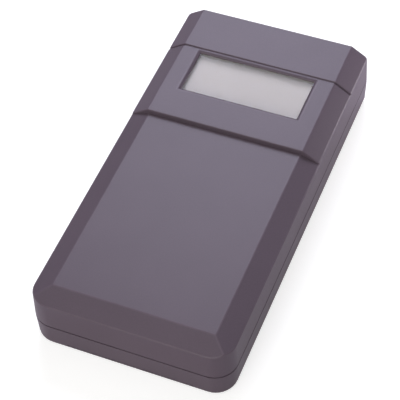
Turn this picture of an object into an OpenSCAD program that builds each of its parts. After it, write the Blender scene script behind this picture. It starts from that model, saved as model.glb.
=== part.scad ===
// Handheld instrument enclosure: two mouldings that meet at a parting line, a display behind
// a bevelled window, a blank keypad face, a removable end panel and a battery bay with a door.
// Millimetres, +Z up, +Y towards the display end, origin in the middle of the underside.

/* [Case] */
// Width at the parting line
case_w = 90; // [86:1:110]
// Length at the parting line
case_l = 180; // [176:1:220]
// Height of the parting line above the underside
split_z = 13; // [11.5:0.5:15]
// Height of the keypad face above the underside
keypad_z = 30; // [29:0.5:36]
// Wall thickness of both mouldings
wall = 2.2; // [1.9:0.1:2.5]
// Thickness of the base's floor
floor_t = 2.4; // [2.2:0.1:3]
// Draft of the outer walls in degrees
draft = 2; // [0.5:0.25:2.5]
// Plan radius of the two near corners
near_r = 10; // [6:0.5:13]
// Plan radius of the two far corners
far_r = 2; // [2:0.1:7]
// Bevel round the edge of the underside
foot_bevel = 1.2; // [0.6:0.1:1.4]
// Bevel on each side of the parting line
seam_bevel = 0.4; // [0.2:0.05:0.6]
// Depth of the lip that locates the cover in the base
lip_h = 2; // [1.5:0.1:2.5]
// Clearance between fixed pieces that fit together
fit_gap = 0.15; // [0.1:0.05:0.25]

/* [Cover face] */
// Rise from the keypad face to the display hood
step_h = 2.2; // [1.2:0.1:3.5]
// Width of the side bevels along the keypad
keypad_bevel_w = 9.2; // [7:0.1:11]
// Fall of the side bevels along the keypad, and of the near bevel
keypad_bevel_h = 3.8; // [2.5:0.1:5]
// Width of the bevel at the near end
near_bevel_w = 9.6; // [7:0.1:12]
// Width of the side bevels along the hood
hood_bevel_w = 8.3; // [7:0.1:10]
// Fall of the side bevels along the hood
hood_bevel_h = 5.6; // [4.5:0.1:7]
// Hood face between the step and the window
hood_front = 17.9; // [16:0.1:26]
// Width of the groove across the hood behind the window
groove_w = 1; // [0.6:0.1:1.6]
// Depth of that groove
groove_h = 0.6; // [0.3:0.05:0.8]

/* [Window and display] */
// Length of the window across the case
window_l = 55; // [40:0.5:58]
// Width of the window along the case
window_w = 23.8; // [16:0.2:26]
// Width of the bevel round the window
window_bevel_w = 1.5; // [0.8:0.1:2]
// Depth of the bevel round the window
window_bevel_h = 0.9; // [0.5:0.1:1]
// Straight edge below the bevel
window_land = 0.3; // [0.2:0.05:0.4]
// How far the lens reaches past the window on each side
lens_lap = 3; // [2:0.1:3.4]
// Thickness of the lens
lens_t = 1.5; // [1:0.1:2]
// Space between the lens and the display's frame
lens_space = 0.7; // [0.5:0.1:1.5]
// How far the frame's opening reaches past the window on each side
frame_lap = 3.2; // [2.5:0.1:3.6]
// How far the glass reaches past the window on each side
glass_lap = 4.5; // [4:0.1:5]
// Thickness of each of the display's two glass plates
glass_t = 1.1; // [0.7:0.1:1.4]
// Sheet thickness of the display's frame
frame_t = 0.5; // [0.4:0.05:0.8]
// Height of the contact strips between the front plate's ledges and the board
strip_h = 4.6; // [3.5:0.1:5]
// Width of the contact strips
strip_w = 2.4; // [1.6:0.1:2.8]
// Thickness of the display's board
board_t = 1.6; // [1:0.1:2]
// Margin of the board past its screw holes
board_margin = 2.7; // [2.5:0.1:3.5]

/* [Battery bay] */
// Length of the battery, across the case
battery_l = 48.5; // [46:0.5:50]
// Width of the battery, along the case
battery_w = 26.5; // [24:0.5:28]
// Thickness of the battery
battery_h = 17.5; // [15:0.5:18]
// Length of the bay kept for the contacts
contact_room = 6; // [5.5:0.1:7]
// Spare room round the battery
battery_gap = 0.25; // [0.15:0.05:0.5]
// Wall thickness of the bay
bay_wall = 2.2; // [2:0.1:2.6]
// Thickness of the ledges that carry the door
ledge_t = 1.1; // [0.9:0.05:1.2]
// Reach of the door's flanges under the bay's side walls
flange_reach = 1.2; // [0.9:0.1:1.4]
// Reach of the ledges under the bay
ledge_reach = 0.8; // [0.5:0.1:1.2]
// Running clearance of the door
door_gap = 0.28; // [0.2:0.02:0.32]
// Number of grip grooves in the door
grip_count = 5; // [3:1:7]
// Spacing of the grip grooves
grip_pitch = 2.6; // [2:0.1:3]
// Length of the grip grooves
grip_l = 20; // [12:1:30]
// Depth of the grip grooves
grip_h = 0.6; // [0.3:0.05:0.7]
// Spacing of the two battery contacts
contact_pitch = 12.7; // [12:0.1:13]
// Thickness of the contact board
contact_board_t = 1.6; // [1.2:0.1:2]

/* [Fasteners] */
// Thread diameter of the case screws
screw_d = 3; // [2.6:0.1:3.4]
// Length of the case screws under the head
screw_l = 14; // [11:0.5:15]
// Head diameter of the case screws
screw_head_d = 5.6; // [5:0.1:6]
// Head height of the case screws
screw_head_h = 2; // [1.6:0.1:2.4]
// Depth of the seat of the case screws above the underside
screw_seat_z = 7; // [5.5:0.25:8]
// Distance of the case screws from the sides
screw_in_x = 9; // [8.5:0.25:10]
// Distance of the near case screws from the near end
screw_in_near = 16; // [14:0.5:18]
// Distance of the far case screws from the far end
screw_in_far = 12.5; // [12.5:0.25:15]
// Thread diameter of the display screws
small_screw_d = 2; // [1.8:0.1:2.3]
// Length of the display screws under the head
small_screw_l = 6.5; // [4.5:0.25:7]

/* [End panel] */
// Thickness of the end panel
panel_t = 2; // [1.5:0.1:2.5]
// Width of the opening in front of the panel
panel_open_w = 66; // [40:1:66]
// Lowest edge of that opening
panel_open_z = 5.5; // [5:0.25:7]
// Height of that opening
panel_open_h = 18; // [14:0.5:19]
// How far the panel reaches past its opening at the sides
panel_lap = 2.5; // [1.5:0.1:3]

/* [Hidden] */
$fn = 64;

case_colour = "#6f6877";
door_colour = "#6a6372";
lens_colour = "#e4e8ea";
glass_colour = "#c2bdc3";
steel_colour = "#a9abb0";
foam_colour = "#2b2a2d";
rubber_colour = "#b58f9a";
fibre_colour = "#2f6a44";
contact_fibre_colour = "#8b6a44";
resin_colour = "#1c1b1e";

// Levels and lines of the case
half_w = case_w / 2;
half_l = case_l / 2;
hood_z = keypad_z + step_h;
near_centre_y = -half_l + near_r;
// Least plan radius of the far corners where the outline is set in
least_far_r = 0.2;
keypad_slope = keypad_bevel_h / keypad_bevel_w;
near_slope = keypad_bevel_h / near_bevel_w;
hood_slope = hood_bevel_h / hood_bevel_w;
overshoot = 1;
function draft_in(z) = abs(z - split_z) * tan(draft);
// The cavity's walls are straight, set in by the wall and half of the base's draft
cavity_in = wall + draft_in(0) / 2;
hood_in_z = hood_z - wall;
lip_in = wall / 2 + fit_gap;

// Case screws and their posts
screw_hole_gap = 0.3;
screw_head_gap = 0.4;
pilot_gap = 0.02;
pilot_spare = 1.5;
base_post_wall = 1.6;
cover_post_wall = 2.1;
post_drop = 1.5;
screw_r = screw_d / 2;
screw_hole_r = screw_r + screw_hole_gap;
screw_head_r = screw_head_d / 2;
screw_recess_r = screw_head_r + screw_head_gap;
base_post_r = screw_recess_r + base_post_wall;
cover_post_r = screw_r + cover_post_wall;
post_z = split_z - post_drop;
screw_tip_z = screw_seat_z + screw_l;
screw_x = half_w - screw_in_x;
screw_near_y = -half_l + screw_in_near;
screw_far_y = half_l - screw_in_far;
gusset_t = 1.4;
screw_places = [for (x = [-screw_x, screw_x], y = [screw_near_y, screw_far_y]) [x, y]];

// Display, set back from the far posts
frame_gap = 0.15;
strip_gap = 0.6;
small_post_wall = 1.8;
small_post_gap = 0.2;
glass_l = window_l + 2 * glass_lap;
glass_w = window_w + 2 * glass_lap;
frame_l = glass_l + 2 * (frame_gap + frame_t);
frame_w = glass_w + 2 * (frame_gap + frame_t);
small_screw_r = small_screw_d / 2;
small_post_r = small_screw_r + small_post_wall;
small_hole_y = frame_w / 2 + small_post_r + small_post_gap;
small_hole_x = frame_l / 2 - small_post_r;
board_l = frame_l + 2 * board_margin;
board_w = 2 * (small_hole_y + board_margin);
board_gap = 0.7;
window_y = screw_far_y - cover_post_r - board_gap - board_w / 2;
small_places = [for (x = [-1, 1], y = [-1, 1]) [x * small_hole_x, window_y + y * small_hole_y]];
lens_l = window_l + 2 * lens_lap;
lens_w = window_w + 2 * lens_lap;
lens_top_z = hood_z - window_bevel_h - window_land;
lens_z = lens_top_z - lens_t;
frame_top_z = lens_z - lens_space;
glass_top_z = frame_top_z - frame_t;
ledge_z = glass_top_z - glass_t;
board_top_z = ledge_z - strip_h;
board_z = board_top_z - board_t;
small_head_h = 1.3;
small_tip_z = board_z + small_screw_l;
step_y = window_y - window_w / 2 - hood_front;
groove_y = window_y + window_w / 2 + window_bevel_w;

// Battery bay at the near end
bay_clear = 0.3;
bay_half_l = (battery_l + contact_room) / 2;
bay_y0 = -half_l + cavity_in + bay_clear + bay_wall;
bay_y1 = bay_y0 + battery_w + 2 * battery_gap;
bay_mid_y = (bay_y0 + bay_y1) / 2;
bay_top_z = floor_t + battery_h + 2 * battery_gap;
bay_roof_z = bay_top_z + bay_wall;
ledge_x = bay_half_l - ledge_reach;
flange_x = bay_half_l + flange_reach;
door_overlap = 0.5;
door_y1 = bay_y1 + door_overlap;
contact_x = bay_half_l - contact_board_t;
contact_z = (floor_t + bay_top_z) / 2;
contact_board_gap = 0.25;

// Posts for a circuit board on the base's floor
board_post_r = 3;
board_post_h = 4.6;
board_pilot_r = 1.1;
board_post_in_x = 15;
board_post_space = 10;
board_post_x = half_w - board_post_in_x;
board_post_ys = [bay_y1 + bay_wall + board_post_space, screw_far_y - base_post_r - board_post_space];

// End panel between the far wall and two ribs
panel_gap = 0.1;
panel_y1 = half_l - cavity_in - panel_gap;
panel_y0 = panel_y1 - panel_t;
panel_half_w = panel_open_w / 2 + panel_lap;
panel_z0 = floor_t + panel_gap;
panel_z1 = hood_in_z - panel_gap;
panel_rib_t = 1.5;
panel_rib_h = 2.5;
panel_rib_in = 4;

// Plane figures, drawn along an axis of the case
module along_x(x0, x1) {
    translate([x0, 0, 0]) rotate([90, 0, 90]) linear_extrude(x1 - x0) children();
}

module along_y(y0, y1) {
    translate([0, y1, 0]) rotate([90, 0, 0]) linear_extrude(y1 - y0) children();
}

module plate(l, w, y, z0, z1) {
    translate([-l / 2, y - w / 2, z0]) cube([l, w, z1 - z0]);
}

// A quarter of a post with drafted sides, for one plan corner
module corner(x, y, r0, r1, z0, z1, from) {
    translate([x, y, 0])
        rotate([0, 0, from])
            rotate_extrude(angle = 90)
                polygon([[0, z0], [r0, z0], [r1, z1], [0, z1]]);
}

// The case's plan outline between two levels, set in by in0 below and in1 above. The two end blocks
// run to the middle of the case, so that they overlap the long block. The far corners' centres lie
// deep enough to leave a round corner on every line set in.
module case_block(z0, z1, in0, in1) {
    far_c = max(far_r, in0 + least_far_r, in1 + least_far_r);
    along_y(near_centre_y, half_l - far_c)
        polygon([[in0 - half_w, z0], [half_w - in0, z0], [half_w - in1, z1], [in1 - half_w, z1]]);
    along_x(near_r - half_w, half_w - near_r)
        polygon([[in0 - half_l, z0], [0, z0], [0, z1], [in1 - half_l, z1]]);
    along_x(far_c - half_w, half_w - far_c)
        polygon([[0, z0], [half_l - in0, z0], [half_l - in1, z1], [0, z1]]);
    corner(half_w - near_r, near_centre_y, near_r - in0, near_r - in1, z0, z1, -90);
    corner(near_r - half_w, near_centre_y, near_r - in0, near_r - in1, z0, z1, 180);
    corner(half_w - far_c, half_l - far_c, far_c - in0, far_c - in1, z0, z1, 0);
    corner(far_c - half_w, half_l - far_c, far_c - in0, far_c - in1, z0, z1, 90);
}

// Top line of a section across the case: a flat between two bevels, lowered square to itself by depth
function roof_line(half_top, top_z, slope, depth) =
    let (
        x = half_top - depth * (sqrt(1 + slope * slope) - 1) / slope,
        z = top_z - depth,
        low_z = z - slope * (case_w - x)
    )
    [[-case_w, low_z], [-x, z], [x, z], [case_w, low_z]];

module under_roof(line) {
    polygon(concat(line, [[case_w, -case_w], [-case_w, -case_w]]));
}

module over_roof(line) {
    polygon(concat(line, [[case_w, case_w], [-case_w, case_w]]));
}

function keypad_line(depth) = roof_line(half_w - keypad_bevel_w, keypad_z, keypad_slope, depth);
function hood_line(depth) = roof_line(half_w - hood_bevel_w, hood_z, hood_slope, depth);

// Everything below the near end's bevel, lowered square to itself by depth
module under_near_bevel(depth) {
    start_z = keypad_z - depth * sqrt(1 + near_slope * near_slope);
    start_y = near_bevel_w - half_l;
    along_x(-case_w, case_w)
        polygon([
            [-case_l, start_z - near_slope * (case_l + start_y)],
            [case_l, start_z + near_slope * (case_l - start_y)],
            [case_l, -case_l],
            [-case_l, -case_l],
        ]);
}

module cover_form() {
    difference() {
        intersection() {
            union() {
                case_block(split_z, split_z + seam_bevel, seam_bevel, 0);
                case_block(split_z + seam_bevel, hood_z + overshoot, 0, draft_in(hood_z + overshoot));
            }
            along_y(-case_l, case_l) under_roof(hood_line(0));
            under_near_bevel(0);
        }
        along_y(-case_l, step_y) over_roof(keypad_line(0));
    }
}

module cover_cavity() {
    intersection() {
        case_block(split_z - lip_h - overshoot, hood_z, cavity_in, cavity_in);
        along_y(-case_l, case_l) under_roof(keypad_line(wall));
        under_near_bevel(wall);
    }
    intersection() {
        case_block(split_z, hood_z, cavity_in, cavity_in);
        along_y(step_y + wall, case_l) under_roof(hood_line(wall));
    }
}

// A hole with four sloping sides, from l by w at z0 out to bevel more on each side at z1
module bevelled_hole(l, w, y, z0, z1, bevel) {
    intersection() {
        along_y(y - w, y + w)
            polygon([[-l / 2, z0], [l / 2, z0], [l / 2 + bevel, z1], [-l / 2 - bevel, z1]]);
        along_x(-l, l)
            polygon([[y - w / 2, z0], [y + w / 2, z0], [y + w / 2 + bevel, z1], [y - w / 2 - bevel, z1]]);
    }
}

module post(place, r, z0, z1) {
    translate([place[0], place[1], z0]) cylinder(r = r, h = z1 - z0);
}

// Rib that ties a screw post to the side wall beside it
module gusset(place, z0, z1) {
    side = sign(place[0]);
    from_x = abs(place[0]);
    to_x = half_w - cavity_in + overshoot / 2;
    translate([side * (from_x + to_x) / 2, 0, 0]) plate(to_x - from_x, gusset_t, place[1], z0, z1);
}

module panel_opening() {
    translate([-panel_open_w / 2, panel_y1 - overshoot, panel_open_z])
        cube([panel_open_w, cavity_in + 2 * overshoot, panel_open_h]);
}

// Rib that holds one edge of the end panel against the far wall
module panel_rib(z0, z1) {
    l = panel_open_w - 2 * panel_rib_in;
    plate(l, panel_rib_t, panel_y0 - panel_gap - panel_rib_t / 2, z0, z1);
}

module cover_lip() {
    difference() {
        case_block(split_z - lip_h, split_z + overshoot, lip_in, lip_in);
        case_block(split_z - lip_h - overshoot, split_z + 2 * overshoot, cavity_in, cavity_in);
    }
}

module window_opening() {
    bevel_z = hood_z - window_bevel_h;
    run = window_bevel_w * (window_bevel_h + overshoot) / window_bevel_h;
    bevelled_hole(window_l, window_w, window_y, bevel_z, hood_z + overshoot, run);
    plate(window_l, window_w, window_y, hood_in_z - overshoot, bevel_z + fit_gap);
    plate(lens_l + 2 * fit_gap, lens_w + 2 * fit_gap, window_y, hood_in_z - overshoot, lens_top_z);
}

module hood_groove() {
    along_y(groove_y, groove_y + groove_w)
        difference() {
            over_roof(hood_line(groove_h));
            over_roof(hood_line(-overshoot));
        }
}

module top_cover() {
    color(case_colour)
        difference() {
            union() {
                difference() {
                    cover_form();
                    cover_cavity();
                }
                cover_lip();
                intersection() {
                    cover_form();
                    union() {
                        for (place = screw_places) {
                            post(place, cover_post_r, split_z, hood_z);
                            gusset(place, split_z + post_drop, hood_z);
                        }
                        for (place = small_places) post(place, small_post_r, board_top_z, hood_z);
                        panel_rib(hood_in_z - panel_rib_h, hood_z);
                    }
                }
                for (place = screw_places) post(place, cover_post_r, post_z, split_z + overshoot);
            }
            for (place = screw_places)
                post(place, screw_r + pilot_gap, post_z - overshoot, screw_tip_z + pilot_spare);
            for (place = small_places)
                post(place, small_screw_r + pilot_gap, board_top_z - overshoot, small_tip_z + fit_gap);
            window_opening();
            hood_groove();
            panel_opening();
        }
}

module base_form() {
    foot_in = draft_in(foot_bevel);
    case_block(0, foot_bevel, foot_in + foot_bevel, foot_in);
    case_block(foot_bevel, split_z - seam_bevel, foot_in, 0);
    case_block(split_z - seam_bevel, split_z, 0, seam_bevel);
}

module base_tray() {
    difference() {
        base_form();
        case_block(floor_t, split_z + overshoot, cavity_in, cavity_in);
        case_block(split_z - lip_h - fit_gap, split_z + overshoot, wall / 2, wall / 2);
    }
}

module bay_walls() {
    outer_l = 2 * (bay_half_l + bay_wall);
    outer_w = bay_y1 - bay_y0 + 2 * bay_wall;
    plate(outer_l, outer_w, bay_mid_y, floor_t / 2, bay_roof_z);
    plate(outer_l, bay_wall, -half_l + cavity_in + bay_wall / 2, floor_t / 2, split_z - lip_h - 2 * fit_gap);
}

module bay_space() {
    plate(2 * bay_half_l, bay_y1 - bay_y0, bay_mid_y, floor_t - overshoot / 2, bay_top_z);
}

// Section of the slot that the door runs in: a plate with a flange on each side
module door_section(gap, bottom) {
    inner = ledge_x - gap;
    outer = flange_x - gap;
    low = ledge_t + gap;
    top = floor_t - gap;
    polygon([
        [-inner, bottom], [inner, bottom], [inner, low], [outer, low],
        [outer, top], [-outer, top], [-outer, low], [-inner, low],
    ]);
}

module base_shell() {
    color(case_colour)
        difference() {
            union() {
                base_tray();
                bay_walls();
                for (place = screw_places) {
                    post(place, base_post_r, floor_t / 2, post_z);
                    gusset(place, floor_t / 2, post_z - lip_h);
                }
                for (x = [-board_post_x, board_post_x], y = board_post_ys)
                    post([x, y], board_post_r, floor_t / 2, floor_t + board_post_h);
                panel_rib(floor_t / 2, floor_t + panel_rib_h);
            }
            bay_space();
            along_y(-case_l, door_y1 + door_gap) door_section(0, -overshoot);
            for (place = screw_places) {
                post(place, screw_hole_r, -overshoot, post_z + overshoot);
                post(place, screw_recess_r, -overshoot, screw_seat_z);
            }
            for (x = [-board_post_x, board_post_x], y = board_post_ys)
                post([x, y], board_pilot_r, floor_t, floor_t + board_post_h + overshoot);
            panel_opening();
        }
}

module end_panel() {
    color(case_colour)
        plate(2 * panel_half_w, panel_t, (panel_y0 + panel_y1) / 2, panel_z0, panel_z1);
}

module battery_door() {
    grip_y = bay_mid_y - grip_pitch * (grip_count - 1) / 2;
    groove = grip_pitch / 2;
    color(door_colour)
        difference() {
            intersection() {
                along_y(-case_l, door_y1) door_section(door_gap, door_gap);
                base_form();
            }
            for (i = [0 : grip_count - 1])
                plate(grip_l, groove, grip_y + i * grip_pitch, 0, door_gap + grip_h);
        }
}

module display_window() {
    color(lens_colour, 0.4) plate(lens_l, lens_w, window_y, lens_z, lens_top_z);
}

// Frame of l by w with an opening in its middle
module flat_frame(l, w, open_l, open_w, z0, z1) {
    difference() {
        plate(l, w, window_y, z0, z1);
        plate(open_l, open_w, window_y, z0 - overshoot, z1 + overshoot);
    }
}

// The gasket seats on the flat underside of the hood, between its two inner bevels
module display_gasket() {
    flat_l = 2 * (hood_line(wall)[2][0] - fit_gap);
    open_l = lens_l + 4 * fit_gap;
    open_w = lens_w + 4 * fit_gap;
    color(foam_colour)
        flat_frame(min(frame_l, flat_l), frame_w, open_l, open_w, frame_top_z, hood_in_z);
}

// Places of the frame's tabs, which pass through the display's board
tab_l = 3;
tab_tail = 0.9;
tab_x = frame_l / 4;
tab_y = (frame_w - frame_t) / 2;
tab_places = [for (x = [-tab_x, tab_x], y = [-tab_y, tab_y]) [x, window_y + y]];

module tabs(l, w, z0, z1) {
    for (place = tab_places)
        translate([place[0] - l / 2, place[1] - w / 2, z0]) cube([l, w, z1 - z0]);
}

module display_frame() {
    open_l = window_l + 2 * frame_lap;
    open_w = window_w + 2 * frame_lap;
    color(steel_colour) {
        flat_frame(frame_l, frame_w, open_l, open_w, glass_top_z, frame_top_z);
        flat_frame(frame_l, frame_w, frame_l - 2 * frame_t, frame_w - 2 * frame_t, board_top_z, frame_top_z);
        tabs(tab_l, frame_t, board_z - tab_tail, frame_top_z);
    }
}

// The front plate overhangs the rear plate, and the contact strips press on its two ledges
module display_glass() {
    rear_w = glass_w - 2 * (strip_w + strip_gap);
    color(glass_colour) {
        plate(glass_l, glass_w, window_y, ledge_z, glass_top_z);
        plate(glass_l, rear_w, window_y, ledge_z - glass_t, ledge_z);
    }
}

module display_strips() {
    y = glass_w / 2 - strip_w / 2;
    color(rubber_colour)
        for (side = [-1, 1])
            plate(window_l, strip_w, window_y + side * y, board_top_z, ledge_z);
}

module display_board() {
    color(fibre_colour)
        difference() {
            plate(board_l, board_w, window_y, board_z, board_top_z);
            for (place = small_places)
                post(place, small_screw_r + fit_gap, board_z - overshoot, board_top_z + overshoot);
            tabs(tab_l + 2 * fit_gap, frame_t + 2 * fit_gap, board_z - overshoot, board_top_z + overshoot);
        }
}

// Two round drops of resin over the display's driver chips
module display_drivers() {
    drop_r = 5;
    drop_h = 1.2;
    rings = 4;
    dome = [for (i = [0 : rings]) [drop_r * cos(90 * i / rings), -drop_h * sin(90 * i / rings)]];
    color(resin_colour)
        for (side = [-1, 1])
            translate([side * window_l / 4, window_y, board_z])
                rotate_extrude() polygon(concat([[0, 0]], dome));
}

// Pan-head screw that stands up from its seat, with a cross recess below
module screw(place, r, l, head_r, head_h, seat_z) {
    slot = head_r * 0.3;
    reach = head_r * 1.1;
    recess_h = head_h * 0.6;
    crown_r = head_r * 0.86;
    tip_r = r / 3;
    translate([place[0], place[1], seat_z])
        difference() {
            union() {
                cylinder(r = r, h = l - r);
                translate([0, 0, l - r]) cylinder(r1 = r, r2 = tip_r, h = r);
                translate([0, 0, -head_h]) cylinder(r1 = crown_r, r2 = head_r, h = head_h);
            }
            for (turn = [0, 90])
                rotate([0, 0, turn])
                    translate([-reach / 2, -slot / 2, -head_h - overshoot])
                        cube([reach, slot, overshoot + recess_h]);
        }
}

module display_screws() {
    color(steel_colour)
        for (place = small_places)
            screw(place, small_screw_r, small_screw_l, 2 * small_screw_r, small_head_h, board_z);
}

module case_screws() {
    color(steel_colour)
        for (place = screw_places)
            screw(place, screw_r, screw_l, screw_head_r, screw_head_h, screw_seat_z);
}

contact_places = [bay_mid_y - contact_pitch / 2, bay_mid_y + contact_pitch / 2];
contact_shank_r = 1.2;
contact_flange_t = 0.4;
contact_h = 2.6;
stud_flange_r = 4.2;
stud_neck_r = 2.5;
stud_bulge = 0.3;
stud_tip_h = 1;
socket_flange_r = 4.6;
socket_foot_r = 4;
socket_mouth_r = 4.3;
socket_wall = 0.9;
socket_floor_h = 1;

module contact_board() {
    gap = contact_board_gap;
    color(contact_fibre_colour)
        difference() {
            translate([contact_x, bay_y0 + gap, floor_t + gap])
                cube([contact_board_t, bay_y1 - bay_y0 - 2 * gap, bay_top_z - floor_t - 2 * gap]);
            for (y = contact_places)
                translate([contact_x - overshoot, y, contact_z])
                    rotate([0, 90, 0]) cylinder(r = contact_shank_r, h = contact_board_t + 2 * overshoot);
        }
}

// A turned or pressed contact that faces the battery, with its shank through the board
module contact(y, outline) {
    foot_z = -contact_board_t;
    shank = [[0, foot_z], [contact_shank_r, foot_z], [contact_shank_r, 0]];
    color(steel_colour)
        translate([contact_x, y, contact_z])
            rotate([0, -90, 0])
                rotate_extrude() polygon(concat(shank, outline));
}

module contact_stud() {
    bulge_r = stud_neck_r + stud_bulge;
    contact(contact_places[0], [
        [stud_flange_r, 0], [stud_flange_r, contact_flange_t], [stud_neck_r, contact_flange_t],
        [stud_neck_r, contact_h - stud_tip_h], [bulge_r, contact_h - stud_tip_h / 2],
        [stud_neck_r, contact_h], [0, contact_h],
    ]);
}

module contact_socket() {
    inner_r = socket_mouth_r - socket_wall;
    contact(contact_places[1], [
        [socket_flange_r, 0], [socket_flange_r, contact_flange_t], [socket_foot_r, contact_flange_t],
        [socket_mouth_r, contact_h], [inner_r, contact_h],
        [inner_r - stud_bulge, socket_floor_h], [0, socket_floor_h],
    ]);
}

top_cover();
base_shell();
end_panel();
battery_door();
display_window();
display_gasket();
display_frame();
display_glass();
display_strips();
display_board();
display_drivers();
display_screws();
contact_board();
contact_stud();
contact_socket();
case_screws();
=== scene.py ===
import math

import bmesh
import bpy
from mathutils import Matrix, Vector
from mathutils.bvhtree import BVHTree


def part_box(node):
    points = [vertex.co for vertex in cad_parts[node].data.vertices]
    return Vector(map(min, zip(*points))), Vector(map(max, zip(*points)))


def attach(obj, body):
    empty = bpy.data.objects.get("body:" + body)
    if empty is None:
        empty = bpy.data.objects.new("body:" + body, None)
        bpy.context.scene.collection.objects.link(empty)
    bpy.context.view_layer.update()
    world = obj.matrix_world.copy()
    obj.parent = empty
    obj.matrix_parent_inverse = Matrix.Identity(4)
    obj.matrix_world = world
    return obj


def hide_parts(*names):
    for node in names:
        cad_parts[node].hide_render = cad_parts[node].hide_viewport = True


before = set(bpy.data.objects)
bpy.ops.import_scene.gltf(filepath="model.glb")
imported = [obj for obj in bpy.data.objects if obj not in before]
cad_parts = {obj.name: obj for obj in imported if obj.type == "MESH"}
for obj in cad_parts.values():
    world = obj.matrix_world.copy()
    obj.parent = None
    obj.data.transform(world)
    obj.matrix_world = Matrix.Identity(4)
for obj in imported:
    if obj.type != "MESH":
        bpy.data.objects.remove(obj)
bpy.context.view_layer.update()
scene = bpy.context.scene


# Base shell. The lower half of the case, with the floor, the screw posts and the battery bay. It is
# moulded in one piece from mauve-grey ABS, and four screws pull it up against the cover.
MM = 0.001
HALF_WIDTH, HALF_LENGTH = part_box("base_shell")[1].xy
SPLIT_HEIGHT = 13 * MM
NEAR_RADIUS, FAR_RADIUS, LEAST_RADIUS = 10 * MM, 2 * MM, 0.2 * MM
DRAFT = math.radians(2)
# The shadow gap that the two mouldings leave along the parting line
GAP_HEIGHT, GAP_DEPTH = 0.8 * MM, 0.7 * MM
FOOT_ROUND, LIP_ROUND = 2.05 * MM, 0.15 * MM
SHELL_RADIUS = 0.35 * MM
# An odd number, so that no point of a round corner falls right beside the mitre of two bevels
ARC_STEPS = 9
# The visual skin lies this far inside the solid's, so that no two faces of the two coincide
SKIN = 0.01 * MM
# Points closer than this are one point
MERGE_DISTANCE = 0.001 * MM
# Material slots that tell plain, rounded and polished faces apart until the piece is finished
PLAIN, ROUNDED, POLISHED = 0, 1, 2
CASE_COLOUR = "#5f535e"


def linear(hex_colour):
    """An sRGB hex colour as linear RGBA."""
    channels = [int(hex_colour[i:i + 2], 16) / 255 for i in (1, 3, 5)]
    return [c / 12.92 if c <= 0.04045 else ((c + 0.055) / 1.055) ** 2.4 for c in channels] + [1.0]


def add(tree, kind, sockets=None, **settings):
    """Adds a node with its settings, and sets or links its inputs."""
    node = tree.nodes.new(kind)
    for name, value in settings.items():
        setattr(node, name, value)
    for socket, value in (sockets or {}).items():
        if isinstance(value, bpy.types.NodeSocket):
            tree.links.new(value, node.inputs[socket])
        else:
            node.inputs[socket].default_value = value
    return node


def new_material(name):
    """An empty material, its node tree and the object's own coordinates in metres."""
    material = bpy.data.materials.new(name)
    material.use_nodes = True
    tree = material.node_tree
    tree.nodes.clear()
    place = add(tree, "ShaderNodeTexCoord").outputs["Object"]
    return material, tree, place


def moulded_abs(name, colour):
    """ABS from a spark-eroded mould: an even satin grey with a faint flow mottle and a fine grit that
    breaks up reflections. Rounded edges are rubbed a little paler and smoother, and polished faces are
    smoother still and show no grit."""
    flow_size, grit_size, rub_size = 28 * MM, 0.6 * MM, 5 * MM
    material, tree, place = new_material(name)
    flow = add(tree, "ShaderNodeTexNoise", {"Vector": place, "Scale": 1 / flow_size, "Detail": 3.0})
    # The real grit is about 0.15 mm, drawn four times as coarse so that it shows
    grit = add(tree, "ShaderNodeTexNoise", {"Vector": place, "Scale": 1 / grit_size, "Detail": 2.0})
    rub = add(tree, "ShaderNodeTexNoise", {"Vector": place, "Scale": 1 / rub_size, "Detail": 2.0})
    edge = add(tree, "ShaderNodeAttribute", attribute_name="rounded_edge")
    polished = add(tree, "ShaderNodeAttribute", attribute_name="polished")
    rubbed = add(tree, "ShaderNodeMath", {0: edge.outputs["Fac"], 1: rub.outputs[0]}, operation="MULTIPLY")
    mottle = add(tree, "ShaderNodeMapRange", {
        "Value": flow.outputs[0], "From Min": 0.3, "From Max": 0.7, "To Min": 0.965, "To Max": 1.035})
    speck = add(tree, "ShaderNodeMapRange", {
        "Value": grit.outputs[0], "From Min": 0.25, "From Max": 0.75, "To Min": 0.95, "To Max": 1.05})
    tone = add(tree, "ShaderNodeMath", {0: mottle.outputs[0], 1: speck.outputs[0]}, operation="MULTIPLY")
    worn_tone = add(tree, "ShaderNodeMath", {
        0: rubbed.outputs[0], 1: 0.25, 2: tone.outputs[0]}, operation="MULTIPLY_ADD")
    shade = add(tree, "ShaderNodeHueSaturation", {"Color": linear(colour), "Value": worn_tone.outputs[0]})
    satin = add(tree, "ShaderNodeMapRange", {
        "Value": grit.outputs[0], "From Min": 0.25, "From Max": 0.75, "To Min": 0.36, "To Max": 0.44})
    worn_satin = add(tree, "ShaderNodeMath", {
        0: rubbed.outputs[0], 1: -0.12, 2: satin.outputs[0]}, operation="MULTIPLY_ADD")
    gloss = add(tree, "ShaderNodeMath", {
        0: polished.outputs["Fac"], 1: -0.16, 2: worn_satin.outputs[0]}, operation="MULTIPLY_ADD")
    grain = add(tree, "ShaderNodeMath", {
        0: polished.outputs["Fac"], 1: -0.25, 2: 0.25}, operation="MULTIPLY_ADD")
    relief = add(tree, "ShaderNodeBump", {
        "Strength": grain.outputs[0], "Distance": 0.02 * MM, "Height": grit.outputs[0]})
    plastic = add(tree, "ShaderNodeBsdfPrincipled", {
        "Base Color": shade.outputs[0], "Roughness": gloss.outputs[0], "IOR": 1.54,
        "Specular IOR Level": 0.27, "Normal": relief.outputs[0]})
    add(tree, "ShaderNodeOutputMaterial", {"Surface": plastic.outputs[0]})
    return material


def link(name, mesh):
    """A new object in the scene with that mesh."""
    piece = bpy.data.objects.new(name, mesh)
    scene.collection.objects.link(piece)
    return piece


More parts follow.
